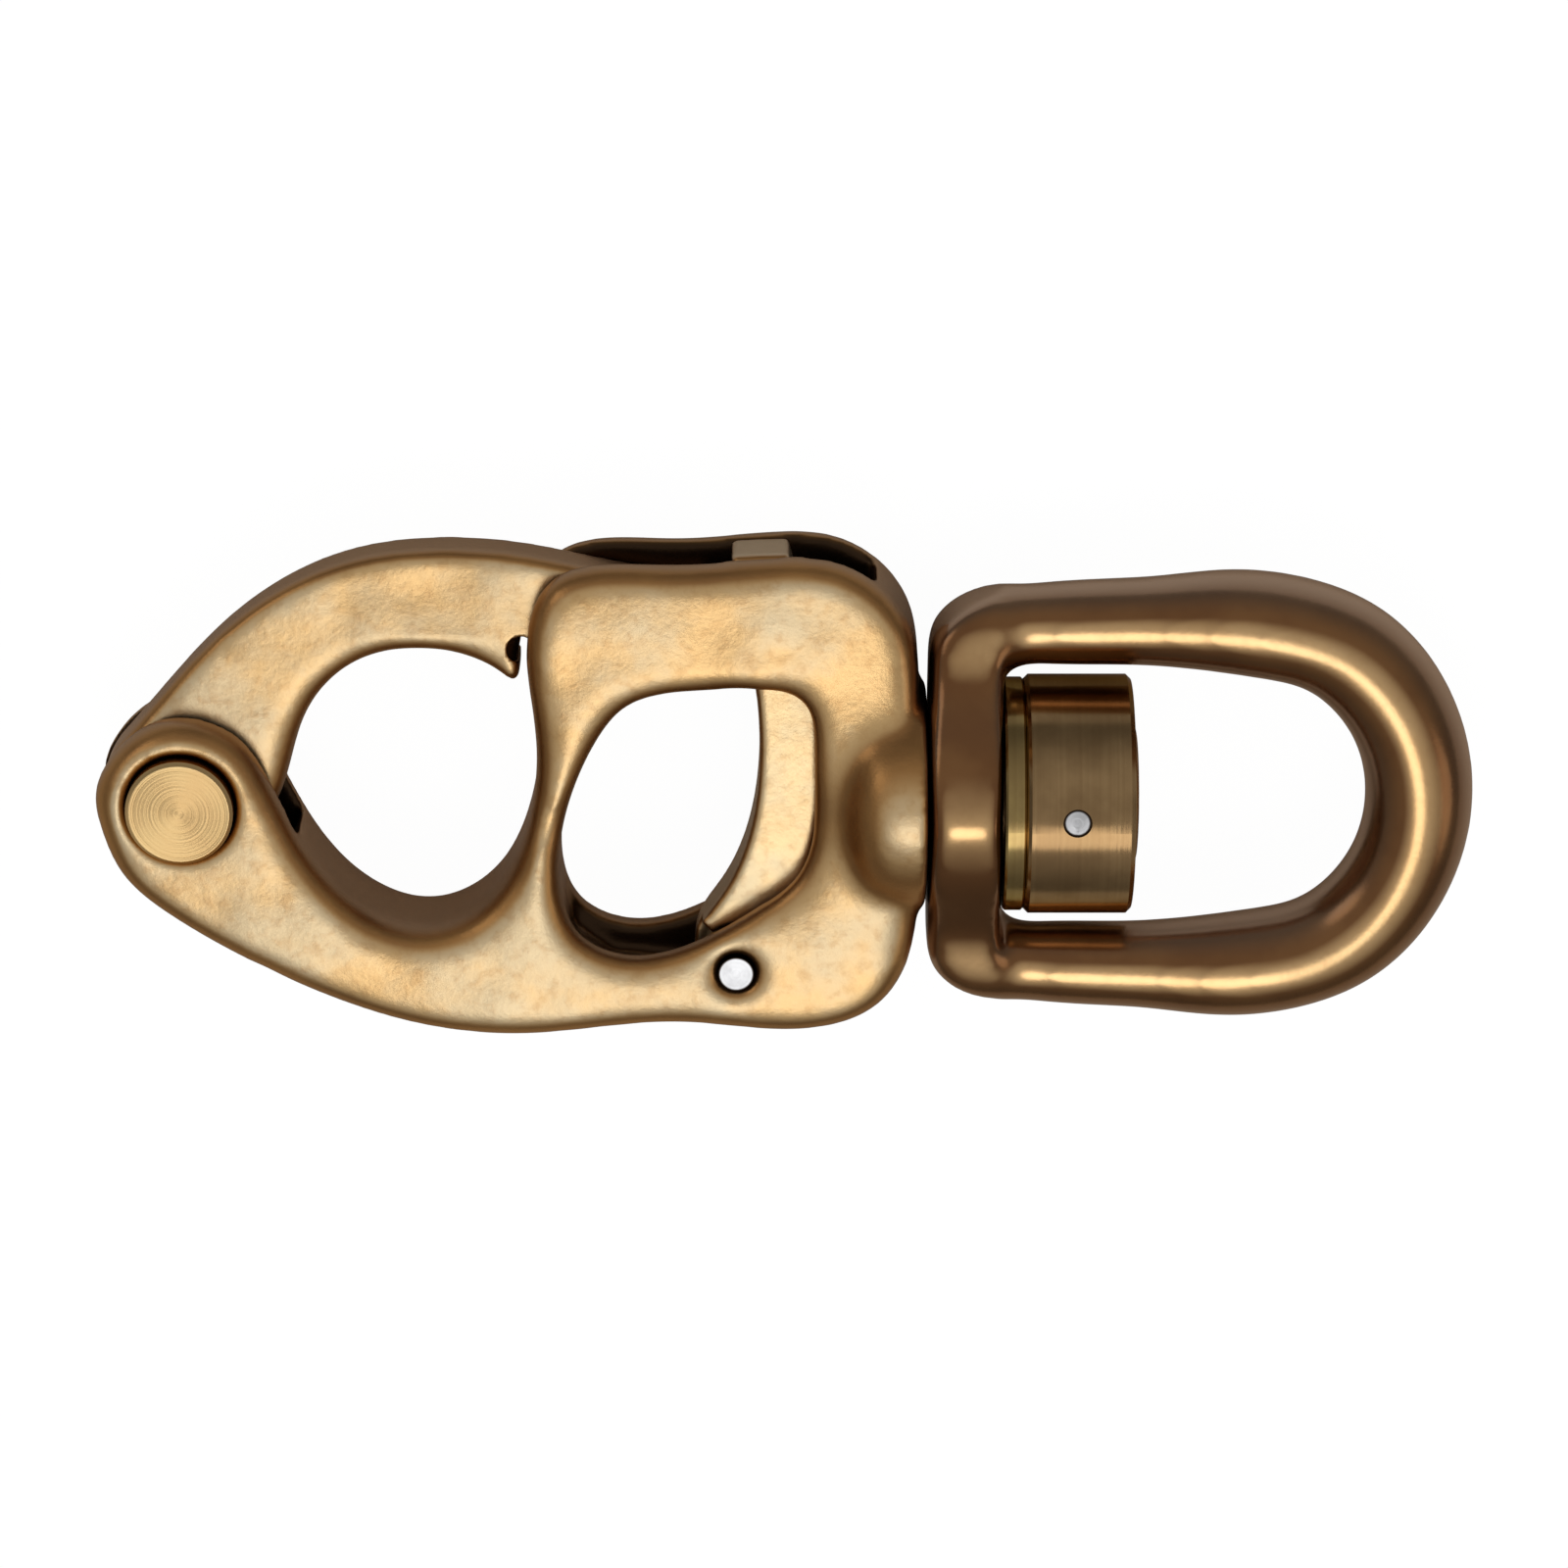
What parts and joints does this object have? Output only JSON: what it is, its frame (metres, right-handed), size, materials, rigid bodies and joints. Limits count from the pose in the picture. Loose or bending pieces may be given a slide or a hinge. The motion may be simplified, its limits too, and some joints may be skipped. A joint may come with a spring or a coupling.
{
  "type": "trigger snap shackle",
  "caption": "Quick-release shackle: a hinged gate closes the jaw, a sprung trigger in a finger hole frees it, and a swivel bail takes the line.",
  "frame": {"origin": "centre of the jaw, on the swivel axis, half way through the thickness", "axes": "+X along the swivel axis towards the bail, +Y across the jaw towards the gate, +Z through the thickness"},
  "size_m": [0.0734, 0.0269, 0.0128],
  "materials": {
    "body_bronze": "tumbled cast bronze",
    "gate_bronze": "tumbled cast bronze",
    "trigger_bronze": "tumbled cast bronze",
    "hinge_pin_bronze": "turned face",
    "pin_steel": "bright ends",
    "spring_steel": "drawn wire",
    "washer_brass": "turned",
    "nut_bronze": "turned, darkened",
    "bail_bronze": "polished, darkened"
  },
  "bodies": {
    "body": {"shackle_body": "body_bronze", "gate_hinge_pin": "hinge_pin_bronze", "trigger_pin": "pin_steel", "thrust_washer": "washer_brass", "swivel_nut": "nut_bronze", "nut_lock_pin": "pin_steel"},
    "gate": {"gate": "gate_bronze"},
    "trigger": {"trigger": "trigger_bronze", "trigger_spring": "spring_steel"},
    "bail": {"swivel_bail": "bail_bronze"}
  },
  "joints": [
    {"name": "gate_hinge", "type": "hinge", "parent": "body", "child": "gate", "pos_m": [-0.01208, 0.00037, 0], "axis": [0, 0, 1], "range_deg": [0, 100]},
    {"name": "trigger_pull", "type": "hinge", "parent": "body", "child": "trigger", "pos_m": [0.0173, -0.009, 0], "axis": [0, 0, -1], "range_deg": [0, 9], "stiffness_Nm_per_rad": 0.02, "springref_deg": -20.05, "deforming": ["trigger_spring"]},
    {"name": "bail_swivel", "type": "hinge", "parent": "body", "child": "bail", "pos_m": [0.0295, 0, 0], "axis": [1, 0, 0], "continuous": true}
  ]
}
